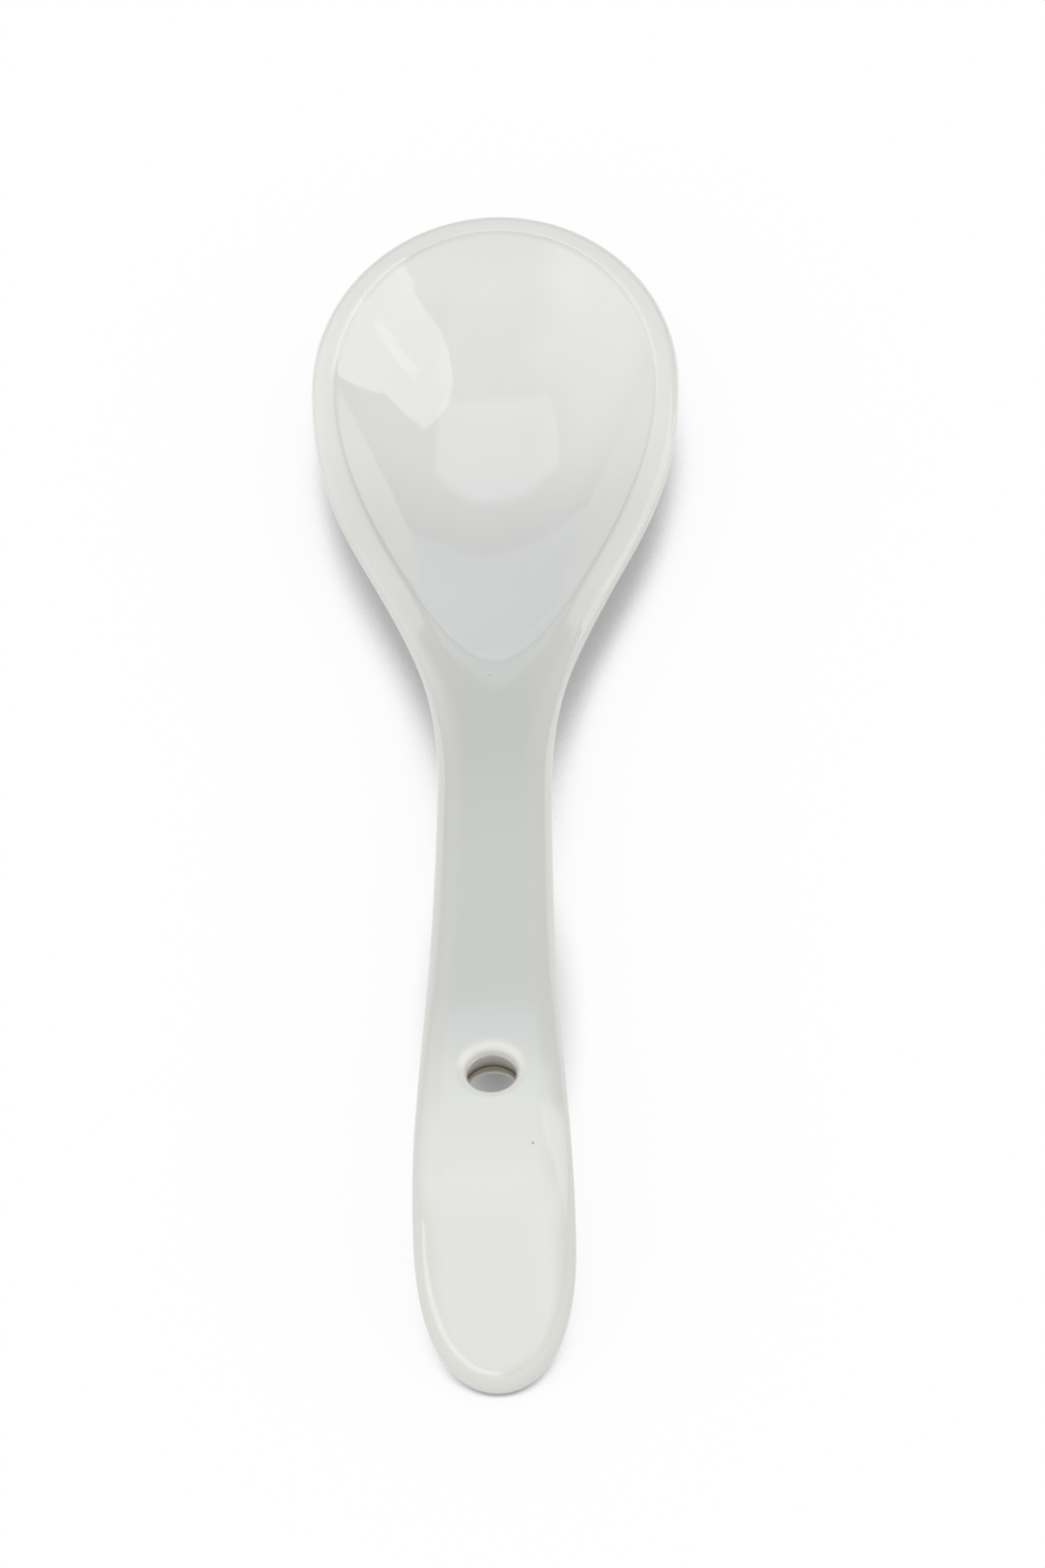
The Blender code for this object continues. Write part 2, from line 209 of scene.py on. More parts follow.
keel_curve = bezier(
    (table_below(FOOT_BACK_AT), FOOT_BACK_AT),
    (table_below(FOOT_BACK_AT + KEEL_PULL), FOOT_BACK_AT + KEEL_PULL),
    (WAIST_THICKNESS, WAIST_AT - KEEL_PULL),
    (WAIST_THICKNESS, WAIST_AT),
)


def thickness(at):
    """Depth of the underside below the top, along the middle."""
    along_handle = (at - WAIST_AT) / (TOP_LENGTH - WAIST_AT)
    handle = blend(WAIST_THICKNESS, TIP_THICKNESS, along_handle)
    keel = np.interp(at, keel_curve[:, 1], keel_curve[:, 0])
    return np.select([at < FOOT_BACK_AT, at < WAIST_AT], [table_below(at), keel], handle)


print(f"keel {table_below(HOLLOW_DEEPEST_AT) * 1000:.2f} mm below the top at the foot")

# %% [markdown]
# ## The hollow of the bowl
# The hollow is a teardrop dish. One number says how far out a point lies, 0 at the deepest place and
# 1 on the edge, and the depth follows from it by a power, which makes a flat floor and steep walls.
# A potter's rib leaves no crease where the short front meets the long back, so both halves are joined
# by a rounded corner. The edge itself is blended over half a millimetre, as glaze does. Cutting the
# dish with a Boolean would be quicker, but it leaves a ragged row of faces along this edge.

# %% Reach of the hollow
RIM_WIDTH = 0.0020
HOLLOW_APEX_AT = 0.0577
HOLLOW_APEX_SPREAD = 0.0085
HOLLOW_TAPER = 0.7
HOLLOW_JOIN = 0.0040


def soft_part(value):
    """The positive part of a length, with its corner at zero rounded."""
    return (value + np.hypot(value, HOLLOW_JOIN)) / 2


def behind_middle(at):
    """How far back from the deepest place of the hollow: 1 at its apex."""
    return soft_part(at - HOLLOW_DEEPEST_AT) / (HOLLOW_APEX_AT - HOLLOW_DEEPEST_AT)


def hollow_spread(share):
    """Width scale of the hollow from its deepest place (0) to its apex (1)."""
    narrowing = (1 + HOLLOW_TAPER) * share**2 - HOLLOW_TAPER * share**3
    return blend(HALF_BOWL - RIM_WIDTH, HOLLOW_APEX_SPREAD, narrowing)


def hollow_reach(points):
    """How far out from the deepest place of the hollow each point is: 1 on its edge."""
    across, at = points[..., 0], points[..., 1]
    ahead = soft_part(HOLLOW_DEEPEST_AT - at) / (HOLLOW_DEEPEST_AT - RIM_WIDTH)
    behind = behind_middle(at)
    return np.sqrt((across / hollow_spread(np.minimum(behind, 1))) ** 2 + ahead**2 + behind**2)


print(f"hollow: {2 * (HALF_BOWL - RIM_WIDTH) * 1000:.1f} mm wide, apex at {HOLLOW_APEX_AT * 1000:.1f} mm")

# %% Edge and height of the hollow
HOLLOW_DEPTH = 0.0072
HOLLOW_FULLNESS = 2.5
HOLLOW_APEX_SHARE = 0.23
HOLLOW_EDGE_BLEND = 0.0005
EDGE_TRIES = 8
MIDDLE = np.array([0.0, HOLLOW_DEEPEST_AT])


def hollow_edge(angle):
    """The edge of the hollow, from its front (0) past its widest place (pi / 2) to its apex (pi)."""
    share = -np.cos(angle)
    end = np.where(share < 0, RIM_WIDTH, HOLLOW_APEX_AT)
    across = hollow_spread(np.maximum(share, 0)) * np.sin(angle)
    edge = np.stack([across, blend(HOLLOW_DEEPEST_AT, end, np.abs(share))], axis=-1)
    for _ in range(EDGE_TRIES):
        edge = blend(MIDDLE, edge, 1 / hollow_reach(edge)[:, None])
    return edge


def hollow_depth(at):
    """Depth scale of the hollow: whole at its deepest place, and less towards its apex."""
    return HOLLOW_DEPTH * blend(1, HOLLOW_APEX_SHARE, np.minimum(behind_middle(at), 1) ** 2)


def top_height(points):
    """Height over the top line before the outer edge is rounded: none, but less where the hollow is."""
    dish = hollow_depth(points[..., 1]) * (hollow_reach(points) ** HOLLOW_FULLNESS - 1)
    overlap = np.maximum(0, HOLLOW_EDGE_BLEND - np.abs(dish))
    return np.minimum(0, dish) - overlap**2 / (4 * HOLLOW_EDGE_BLEND)


print(f"hollow {-top_height(MIDDLE) * 1000:.2f} mm deep under the rim")

# %% [markdown]
# ## Ribs across the spoon
# The skin is drawn as ribs, like the ribs of a boat. Each rib of the right half starts at an inner
# point on the top, goes out to the outline, turns over the edge and comes back under the spoon to the
# keel. On the bowl the ribs start at the edge of the hollow, at the hole they start at its mouth, and
# at the tip they fan out from one point. A row of ribs is kept as its inner, outer and lowest points
# and its depths below the top. A grid of equal squares would be simpler, but it can't follow the
# round hole and the pointed hollow.

# %% Ribs of the bowl
FRONT_RIBS = 48
SIDE_RIBS = 76
RIB_SLANT = 0.0030
APEX_CROWDING = 0.7


def on_middle(at):
    return np.stack([np.zeros_like(at), at], axis=-1)


def front_ribs():
    angle = math.pi / 2 * np.arange(FRONT_RIBS) / FRONT_RIBS
    outer = np.stack([HALF_BOWL * np.sin(angle), BOWL_WIDEST_AT * (1 - np.cos(angle))], axis=-1)
    below = np.repeat(MIDDLE[None], FRONT_RIBS, axis=0)
    return hollow_edge(angle), outer, below, thickness(below[:, 1])


def side_ribs():
    share = np.arange(SIDE_RIBS + 1) / SIDE_RIBS
    angle = math.pi / 2 + np.arcsin(blend(share, np.sin(share * math.pi / 2), APEX_CROWDING))
    back = HOLLOW_APEX_AT + RIB_SLANT
    below_at = blend(HOLLOW_DEEPEST_AT, back, -np.cos(angle))
    outer = beside(blend(BOWL_WIDEST_AT, back, -np.cos(angle)))
    return hollow_edge(angle), outer, on_middle(below_at), thickness(below_at)


bowl_rows = [front_ribs(), side_ribs()]
print(f"{sum(len(inner) for inner, *_ in bowl_rows)} ribs on each half of the bowl")

# %% Ribs round the hole
HOLE_FROM_TIP = 0.0304
HOLE_AT = TOP_LENGTH - HOLE_FROM_TIP
BORE_RADIUS = 0.00215
BORE_LIP = 0.0012
MOUTH_RADIUS = BORE_RADIUS + BORE_LIP
HOLE_RIBS = 40


def bore_points(angle, radius, depth):
    """Points round the axis of the bore, placed so that the bend leaves them round."""
    along = radius * np.cos(angle)
    squeeze = 1 + depth * turn_at(HOLE_AT - along / 2)
    return np.stack([radius * np.sin(angle), HOLE_AT - along / squeeze], axis=-1)


hole_angles = math.pi * np.arange(HOLE_RIBS + 1) / HOLE_RIBS
hole_deep = float(thickness(np.array(HOLE_AT)))


def hole_ribs():
    mouth = bore_points(hole_angles, MOUTH_RADIUS, 0.0)
    below = bore_points(hole_angles, MOUTH_RADIUS, hole_deep)
    return mouth, beside(mouth[:, 1]), below, np.full(HOLE_RIBS + 1, hole_deep)


hole_row = hole_ribs()
print(f"hole {2 * BORE_RADIUS * 1000:.1f} mm wide, {HOLE_AT * 1000:.2f} mm along the top")

# %% Ribs of the handle
TIP_PULL_ALONG = 0.0132
TIP_PULL_ACROSS = 0.0013
TIP_RELIEF = 0.00004
NECK_RIBS = 72
END_RIBS = 24
TIP_RIBS = 40


def straight_ribs(start, stop, count, slant=0.0):
    share = np.arange(1, count) / count
    at = blend(start + slant, stop, share)
    return on_middle(blend(start, stop, share)), beside(at), on_middle(at), thickness(at)


def tip_ribs():
    outer = bezier(
        (HALF_PADDLE, PADDLE_AT),
        (HALF_PADDLE, PADDLE_AT + TIP_PULL_ALONG),
        (TIP_PULL_ACROSS, TOP_LENGTH - TIP_RELIEF),
        (0.0, TOP_LENGTH - TIP_RELIEF),
        TIP_RIBS + 1,
    )
    middle = np.repeat([[0.0, PADDLE_AT]], TIP_RIBS + 1, axis=0)
    deep = np.full(TIP_RIBS + 1, float(thickness(np.array(PADDLE_AT))))
    return middle, outer, middle, deep


handle_rows = [
    straight_ribs(HOLLOW_APEX_AT, HOLE_AT - MOUTH_RADIUS, NECK_RIBS, RIB_SLANT),
    hole_row,
    straight_ribs(HOLE_AT + MOUTH_RADIUS, PADDLE_AT, END_RIBS),
    tip_ribs(),
]
inner, outer, below, deep = (np.concatenate(part) for part in zip(*bowl_rows, *handle_rows))
print(f"{len(inner)} ribs on each half of the spoon")

# %% [markdown]
# ## The edge and the belly
# The rim of the bowl turns over in a tight round, and the edge of the handle in a wider and deeper
# one, with a low crown between its two edges. The underside is flat in the middle and rises to the
# edge in a full curve, like a belly. Both rules change smoothly over the shoulder, so that no seam
# shows between bowl and handle. A Bevel modifier could round the edge, but one that widens along the
# way needs a weight on every edge of the mesh.

# %% Rules of the edge and the belly
RIM_EDGE_DROP = 0.0009
HANDLE_EDGE_DROP = 0.0016
HANDLE_CROWN = 0.0004
UNDERSIDE_FLAT = 0.0014
BOWL_BELLY = 0.80
HANDLE_BELLY = 0.60


def ease(start, stop, value):
    """0 before start, 1 after stop, and a smooth rise between."""
    t = np.clip((value - start) / (stop - start), 0, 1)
    return t * t * (3 - 2 * t)


def on_handle(at):
    """0 on the bowl and 1 on the handle, with a smooth change over the shoulder."""
    return ease(BOWL_WIDEST_AT + SHOULDER_PULL, WAIST_AT, at)


def crown_drop(out, handle):
    """Drop of the top by the crown of the handle, at a share of the way out from the middle line."""
    return HANDLE_CROWN * handle * out**2


def under_height(out, total, deep, handle):
    """Height of the underside at a distance out from the middle line, where the edge is at total."""
    flat_part = blend(FOOT_RADIUS, UNDERSIDE_FLAT, handle)
    belly = blend(BOWL_BELLY, HANDLE_BELLY, handle)
    edge = blend(RIM_EDGE_DROP, HANDLE_EDGE_DROP, handle) + crown_drop(1, handle)
    way = np.maximum(0, (out - flat_part) / (total - flat_part))
    return -edge - (deep - edge) * np.maximum(0, 1 - way**2) ** belly


print(f"edge {RIM_EDGE_DROP * 1000:.1f} mm deep on the rim, {HANDLE_EDGE_DROP * 1000:.1f} mm on the handle")

# %% [markdown]
# ## Points along the ribs
# Every rib gets the same number of points, so neighbouring ribs make a sheet of four-sided faces. The
# points crowd together where the skin curves most: at the edge of the hollow and over the rounded
# rim. The flat drawing keeps X across, the front of the bowl at Y = 0 and the top at Z = 0. Two marks
# go with each point of the top, for the finish: how much the glaze thins there, and how near it is to
# the edge of the hollow. A Subdivision Surface would smooth a coarser sheet, but it also draws in the
# edges, and then the sizes are no longer true.

# %% Sheet of the top
TOP_STEPS = 9
EDGE_STEPS = 12
TOP_CROWDING = 1.5
LEAST_LEDGE = 0.02
RIM_EDGE_WIDTH = 0.0011
HANDLE_EDGE_WIDTH = 0.0030
RIM_CROWN = 0.10
RIM_THINNING = 0.75
TOP_EDGE_LIGHT_SHARE = 0.25


def flat(points, height):
    return np.stack([points[..., 0], -points[..., 1], height], axis=-1)


def top_sheet(inner, outer, below):
    """Rows from the inner points over the top and round the edge, with their marks."""
    handle = on_handle(outer[:, 1:])
    core = below[:, :1]
    reach = np.linalg.norm(outer - inner, axis=1, keepdims=True)
    drop = blend(RIM_EDGE_DROP, HANDLE_EDGE_DROP, handle)
    edge = blend(RIM_EDGE_WIDTH, HANDLE_EDGE_WIDTH, handle)
    start = np.maximum(LEAST_LEDGE, 1 - edge / reach)
    level = (np.arange(TOP_STEPS) / TOP_STEPS)[None] ** TOP_CROWDING
    turn = np.linspace(0, math.pi / 2, EDGE_STEPS + 1)[None]
    way = np.hstack([start * level, blend(start, 1, np.sin(turn))])
    over = np.hstack([0 * level, turn])
    on_top = np.minimum(way / start, 1)
    points = blend(inner[:, None], outer[:, None], way[..., None])
    crown = crown_drop((core + reach * way) / (core + reach), handle)
    lower = drop * (1 - np.cos(over))
    swell = RIM_CROWN * (1 - handle) * start * reach * on_top * (1 - on_top)
    marks = {
        "thinning": blend(RIM_THINNING * (1 - handle), 1, np.sin(over)),
        # Where the line of painted light along the edge of the hollow goes
        "line": np.maximum(0, 1 - on_top / TOP_EDGE_LIGHT_SHARE) * (1 - handle),
    }
    return flat(points, top_height(points) - crown - lower + swell), marks


top_points, top_marks = top_sheet(inner, outer, below)
print("points of the top:", top_points.shape[:2])

# %% Sheet of the underside
UNDER_STEPS = 26


def under_sheet(outer, below, deep):
    """Rows from the edge back under the spoon to the lowest points."""
    handle = on_handle(outer[:, 1:])
    core = below[:, :1]
    total = core + np.linalg.norm(outer - below, axis=1, keepdims=True)
    flat_part = np.maximum(core, blend(FOOT_RADIUS, UNDERSIDE_FLAT, handle))
    turn = np.linspace(0, math.pi / 2, UNDER_STEPS + 1)[None]
    out = np.hstack([blend(flat_part, total, np.cos(turn)), core])
    points = blend(below[:, None], outer[:, None], ((out - core) / (total - core))[..., None])
    fall = (points[..., 1] - below[:, 1:]) * RIM_SLOPE * (1 - handle)
    return flat(points, under_height(out, total, deep[:, None] - fall, handle))


under_points = under_sheet(outer, below, deep)
print("points of the underside:", under_points.shape[:2])

# %% [markdown]
# ## The dish and the lips of the bore
# Two more kinds of sheet close the skin. The dish runs from the deepest place of the hollow out to
# its edge. At both mouths of the bore the glaze rolls over a round lip and ends a little way inside,
# where it would run thin. A Bevel could round the lips, but rows of points keep them in step with the
# ribs round the hole.

# %% Sheets of the hollow and the lips
HOLLOW_STEPS = 40
EDGE_CROWDING = 1.6
LIP_STEPS = 10
GLAZE_INTO_BORE = 0.0004
hollow_way = 1 - (1 - np.arange(HOLLOW_STEPS + 1) / HOLLOW_STEPS) ** EDGE_CROWDING


def hollow_sheet(edge):
    """Rows from the deepest place of the hollow to its edge."""
    points = blend(MIDDLE, edge[:, None], hollow_way[None, :, None])
    return flat(points, top_height(points))


def lip_sheets(outer, below, deep):
    """Rows over the lip of each mouth of the bore, as far in as the glaze goes: upper, lower."""
    turn = np.linspace(0, math.pi / 2, LIP_STEPS + 1)
    radius = np.append(MOUTH_RADIUS - BORE_LIP * np.sin(turn), BORE_RADIUS)[None]
    depth = np.append(BORE_LIP * (1 - np.cos(turn)), BORE_LIP + GLAZE_INTO_BORE)[None]
    handle = on_handle(outer[:, 1:])
    core = below[:, :1]
    total = core + np.linalg.norm(outer - below, axis=1, keepdims=True)
    upper_level = -crown_drop(core / outer[:, :1], handle)
    lower_level = under_height(core, total, deep[:, None], handle)
    angle = hole_angles[:, None]
    upper = bore_points(angle, radius, depth)
    lower = bore_points(angle, radius, deep[:, None] - depth)
    return flat(upper, upper_level - depth), flat(lower, lower_level + depth)


hollow_points = hollow_sheet(np.concatenate([edge for edge, *_ in bowl_rows]))
upper_lip, lower_lip = lip_sheets(*hole_row[1:])
print("points of the hollow:", hollow_points.shape[:2], "and of each lip:", upper_lip.shape[:2])

# %% [markdown]
# ## From sheets to a half skin
# The sheets are sewn into one mesh: points in the same place become one. Five marks from 0 to 1 stay
# on the points for the finish: where the glaze thins, how far in from the edge of the hollow a point
# lies, the line of painted light along that edge, how far a point lies inside a lip of the bore, and
# where the bore holds a brown trace at the near lip and painted shade deeper in. They could be painted
# on by hand, but marks that come from the same rows as the shape stay in their places when a size
# changes.

# %% Marks for the finish
MARKS = ("thinning", "hollow", "line", "lip", "stain")
# A line of painted light along the edge of the hollow
HOLLOW_EDGE_LIGHT_SHARE = 0.03
NEAR_STAIN_RUN = (0.40, 0.65)
NEAR_STAIN_STRENGTH = 0.6
# Painted shade: darker deep in the lower lip, and towards the lower mouth on the bare wall
DEEP_SHADE_RUN = (0.6, 0.9)
BORE_SHADE = (1.0, 0.0)


def marked_sheets(with_bore):
    """Every sheet of the half skin and its marks, with or without the bare wall of the bore."""
    hollow_edge_light = np.maximum(0, 1 - (1 - hollow_way) / HOLLOW_EDGE_LIGHT_SHARE)
    lip_way = np.linspace(0, 1, LIP_STEPS + 2)
    nearness = (1 - np.cos(hole_angles[:, None])) / 2
    near_stain = nearness * np.interp(lip_way, NEAR_STAIN_RUN, (0, 1)) * NEAR_STAIN_STRENGTH
    deep_shade = np.interp(lip_way, DEEP_SHADE_RUN, (0, 1))
    sheets = [
        (hollow_points, {"hollow": 1 - hollow_way, "line": hollow_edge_light}),
        (top_points, top_marks),
        (under_points, {}),
        (upper_lip[:, ::-1], {"lip": lip_way[::-1], "stain": near_stain[:, ::-1]}),
        (lower_lip, {"lip": lip_way, "stain": deep_shade}),
    ]
    if with_bore:
        bore = np.stack([lower_lip[:, -1], upper_lip[:, -1]], axis=1)
        sheets.append((bore, {"stain": BORE_SHADE}))
    return sheets


print(f"{len(marked_sheets(True))} sheets, marked with", MARKS)

# %% Sew the half skin
SEWING_DISTANCE = 2e-7


def sheet_faces(shape, first):
    """Corner numbers of the faces between neighbouring rows of a sheet."""
    number = first + np.arange(shape[0] * shape[1]).reshape(shape[:2])
    corners = [number[:-1, :-1], number[1:, :-1], number[1:, 1:], number[:-1, 1:]]
    return np.stack(corners, axis=-1).reshape(-1, 4)


def half_skin(name, with_bore):
    """One half of the glazed surface as a mesh."""
    sheets = marked_sheets(with_bore)
    points = np.vstack([sheet.reshape(-1, 3) for sheet, _ in sheets])
    starts = np.cumsum([0] + [sheet[..., 0].size for sheet, _ in sheets])
    faces = np.vstack([sheet_faces(sheet.shape, first) for (sheet, _), first in zip(sheets, starts)])
    mesh = bpy.data.meshes.new(name)
    mesh.from_pydata(points.tolist(), [], faces.tolist())
    for mark in MARKS:
        values = [np.broadcast_to(marks.get(mark, 0.0), sheet.shape[:2]) for sheet, marks in sheets]
        values = np.concatenate([value.ravel() for value in values]).astype(np.float32)
        mesh.attributes.new(mark, "FLOAT", "POINT").data.foreach_set("value", values)
    sewn = bmesh.new()
    sewn.from_mesh(mesh)
    bmesh.ops.remove_doubles(sewn, verts=sewn.verts, dist=SEWING_DISTANCE)
    sewn.to_mesh(mesh)
    sewn.free()
    mesh.shade_smooth()
    return mesh


glaze_half = half_skin("glaze half", False)
body_half = half_skin("body half", True)
print(f"half skin: {len(glaze_half.vertices)} points, {len(glaze_half.polygons)} faces")

# %% [markdown]
# ## One small class for nodes
# Node trees are easier to read as arithmetic than as a list of links. A Wire is an output socket:
# adding or multiplying Wires adds Math nodes, and one method makes any other node from its type, its
# settings and what goes into its sockets.

# %% Wires
class Wire:
    """An output socket of a node tree, which can be used in Python arithmetic."""

    GIVES_NUMBER = ("DOT_PRODUCT", "DISTANCE", "LENGTH")

    def __init__(self, tree, socket=None):
        self.tree = tree
        self.socket = socket

    def node(self, kind, settings=None, sockets=None, output=0):
        """A new node of the same tree: its settings first, then values or links for its sockets."""
        made = self.tree.nodes.new(kind)
        for name, value in (settings or {}).items():
            setattr(made, name, value)
        for name, value in (sockets or {}).items():
            if isinstance(value, Wire):
                self.tree.links.new(value.socket, made.inputs[name])
            else:
                made.inputs[name].default_value = value
        return Wire(self.tree, made.outputs[output] if len(made.outputs) else None)

    def other(self, output):
        """Another output of the same node."""
        return Wire(self.tree, self.socket.node.outputs[output])

    def math(self, operation, *values):
        return self.node("ShaderNodeMath", {"operation": operation}, dict(enumerate(values)))

    def __add__(self, value):
        return self.math("ADD", self, value)

    __radd__ = __add__

    def __mul__(self, value):
        return self.math("MULTIPLY", self, value)

    __rmul__ = __mul__

    def __sub__(self, value):
        return self.math("SUBTRACT", self, value)

    def __rsub__(self, value):
        return self.math("SUBTRACT", value, self)

    def __pow__(self, value):
        return self.math("POWER", self, value)

    def vector(self, operation, *values):
        """Vector Math, for colours, places and directions."""
        output = "Value" if operation in self.GIVES_NUMBER else "Vector"
        settings = {"operation": operation}
        return self.node("ShaderNodeVectorMath", settings, dict(enumerate(values)), output)

    def rise(self, low, high):
        """0 up to low, 1 from high on, and a smooth rise between. Low may be the greater number."""
        sockets = {"Value": self, "From Min": low, "From Max": high}
        return self.node("ShaderNodeMapRange", {"interpolation_type": "SMOOTHSTEP"}, sockets)

    def mix(self, first, second):
        """Two colours mixed by this value."""
        return self.node("ShaderNodeMix", {"data_type": "RGBA"}, {0: self, 6: first, 7: second}, 2)


print("operators:", [name for name in vars(Wire) if name.startswith("__r")])

# %% [markdown]
# ## Bend the skin along its line
# A cast spoon is not bent by hand, but its form follows a line: every cross-section stands square on
# the line of the top. Geometry Nodes say just that. A path of five corners gets round bends from
# Fillet Curve, and each point of the flat drawing moves to the place on the path that lies as far
# along as the point does, and then out along the path's own upward direction. A Curve modifier would
# bend it too, but its path would be one more object, and here every corner is a named input. The same
# tree bends the glaze and the body under it.

# %% The tree that bends
BEND_STEPS = 160
HALF_A_POINT = 0.5
FRONT_Y = glaze_high.y - RIM_EDGE_DROP * math.sin(math.atan(RIM_SLOPE))
BEND_SIZES = {"Front Y": FRONT_Y}
for corner, sizes in TOP_CORNERS.items():
    BEND_SIZES |= dict(zip([f"{corner} Along", f"{corner} Height", f"{corner} Radius"], sizes))


def top_path(start, given):
    """The line of the top as a curve: a line of points moved to the corners, and rounded."""
    path = start.node("GeometryNodeMeshLine", None, {"Count": len(TOP_CORNERS)})
    path = start.node("GeometryNodeMeshToCurve", None, {"Mesh": path})
    number = start.node("GeometryNodeInputIndex")
    along, height, radius = 0.0, 0.0, 0.0
    for place, corner in enumerate(TOP_CORNERS):
        here = number.math("COMPARE", number, place, HALF_A_POINT)
        along = here * given.other(f"{corner} Along") + along
        height = here * given.other(f"{corner} Height") + height
        radius = here * given.other(f"{corner} Radius") + radius
    place = start.node("ShaderNodeCombineXYZ", None, {"Y": 0 - along, "Z": height})
    path = start.node("GeometryNodeSetPosition", None, {"Geometry": path, "Position": place})
    rounded = {"Curve": path, "Count": BEND_STEPS, "Radius": radius, "Limit Radius": False}
    return start.node("GeometryNodeFilletCurve", {"mode": "POLY"}, rounded)


def bend_tree():
    tree = bpy.data.node_groups.new("bend along the top line", "GeometryNodeTree")
    tree.interface.new_socket("Geometry", in_out="INPUT", socket_type="NodeSocketGeometry")
    for name in BEND_SIZES:
        tree.interface.new_socket(name, in_out="INPUT", socket_type="NodeSocketFloat")
    tree.interface.new_socket("Finish", in_out="INPUT", socket_type="NodeSocketMaterial")
    tree.interface.new_socket("Geometry", in_out="OUTPUT", socket_type="NodeSocketGeometry")
    start = Wire(tree)
    given = start.node("NodeGroupInput", output="Geometry")

    drawn = start.node("GeometryNodeInputPosition")
    across = start.node("ShaderNodeSeparateXYZ", None, {0: drawn}, "X")
    sockets = {"Curves": top_path(start, given), "Length": 0 - across.other("Y")}
    place = start.node("GeometryNodeSampleCurve", {"mode": "LENGTH"}, sockets, "Position")
    upward = start.vector("CROSS_PRODUCT", place.other("Tangent"), (1, 0, 0))
    height = start.vector("MULTIPLY", upward, across.other("Z"))
    sideways = start.node("ShaderNodeCombineXYZ", None, {"X": across, "Y": given.other("Front Y")})
    place = start.vector("ADD", start.vector("ADD", place, height), sideways)
    bent = start.node("GeometryNodeSetPosition", None, {"Geometry": given, "Position": place})
    bent = start.node("GeometryNodeRealizeInstances", None, {"Geometry": bent})
    finished = {"Geometry": bent, "Material": given.other("Finish")}
    bent = start.node("GeometryNodeSetMaterial", None, finished)
    start.node("NodeGroupOutput", None, {"Geometry": bent})
    return tree


bender = bend_tree()
print(f"bending tree: {len(bender.nodes)} nodes, {len(BEND_SIZES)} sizes")

# %% [markdown]
# ## Helpers for finishes
# Both finishes start from Blender's own Principled BSDF, and their patterns are made from noise and
# from the marks on the mesh. A picture could be wrapped round the spoon instead, but it would blur
# close up, and it would have to be made first.

# %% Helpers for finishes
def new_material(name):
    """A material with its Principled BSDF, and a Wire to start its nodes from."""
    material = bpy.data.materials.new(name)
    material.use_nodes = True
    return material, material.node_tree.nodes["Principled BSDF"], Wire(material.node_tree)


def feed(shader, **sockets):
    """Values or links for the sockets of a shader, by name with _ for a space."""
    for name, value in sockets.items():
        socket = shader.inputs[name.replace("_", " ")]
        if isinstance(value, Wire):
            value.tree.links.new(value.socket, socket)
        else:
            socket.default_value = value


def object_place(start):
    return start.node("ShaderNodeTexCoord", None, None, "Object")


def noise(place, scale, detail):
    """Soft noise from 0 to 1: how many grains to the metre, and how many finer layers in them."""
    sockets = {"Vector": place, "Scale": scale, "Detail": detail}
    return place.node("ShaderNodeTexNoise", None, sockets)


def mark(start, name):
    """One of the marks on the points of the skin."""
    return start.node("ShaderNodeAttribute", {"attribute_name": name}, None, "Fac")


print("helpers:", [helper.__name__ for helper in (new_material, feed, object_place, noise, mark)])

# %% [markdown]
# ## The glaze
# Glaze is glass that melts over the white body. Much of its colour here is painted light and shade.
# The hollow and the end of the handle are painted whiter, where light falls on them, and the neck and
# the ramp that climbs to it are painted greyer, as shade; the hollow is also painted greyer towards
# its far edge. The glaze is warmer where it thins on the rim and the shoulders, and the rim is painted
# whiter as a highlight. The lips of the bore take the rim's colour, with a brown trace at the near lip,
# and the lower lip is painted darker inside with the same brown, as shade. The handle is a little
# duller than the bowl, two pinhead specks show, such as iron in the clay leaves, and the surface is not
# quite flat. Along the edge of the hollow a line of painted light is mixed in, which makes up for a dark
# line that the bend of the skin would show there. One even white would be simpler, but the eye reads
# these mild changes as real glaze. Each change along the spoon runs between two places, named by their Y.

# %% Colours and places of the glaze
# The neck and ramp colours are painted shade, the end and hollow colours painted light, the rim colour
# partly a painted highlight and the line colour a painted light.
GLAZE_SHADED_NECK_TOP = (0.650, 0.658, 0.642, 1)
GLAZE_SHADED_NECK = (0.700, 0.707, 0.692, 1)
GLAZE_LIT_END = (0.802, 0.806, 0.772, 1)
GLAZE_THIN_RIM_AND_HIGHLIGHT = (0.868, 0.860, 0.822, 1)
GLAZE_EDGE_LIGHT = (0.960, 0.955, 0.930, 1)
GLAZE_SHOULDER = (0.745, 0.743, 0.708, 1)
GLAZE_SHADED_RAMP = (0.742, 0.746, 0.735, 1)
GLAZE_LIT_HOLLOW = (0.840, 0.838, 0.824, 1)
SPECK_BROWN = (0.36, 0.31, 0.24, 1)
STAIN_AND_SHADE_BROWN = (0.34, 0.29, 0.22, 1)
NECK_SHADE_Y, NECK_TOP_SHADE_Y = -0.016, 0.006
END_LIGHT_STARTS_Y, END_LIGHT_FULL_Y = -0.040, -0.050
RAMP_Y, POOL_Y = 0.026, 0.043
FAR_RIM_Y, SIDE_RIM_Y = 0.064, 0.050
FAR_HOLLOW_SHADE_Y, HOLLOW_SHADE_END_Y = 0.067, 0.058
GRIP_STARTS_Y, GRIP_Y = 0.0, -0.025
END_Y, GRIP_ENDS_Y = -0.060, -0.050

# Place and radius of each speck
SPECKS = {(0.00358, -0.05225, 0.01684): 0.00016, (-0.00053, 0.00814, 0.00907): 0.00011}
print(f"{len(SPECKS)} specks, the larger {2000 * max(SPECKS.values()):.2f} mm wide")

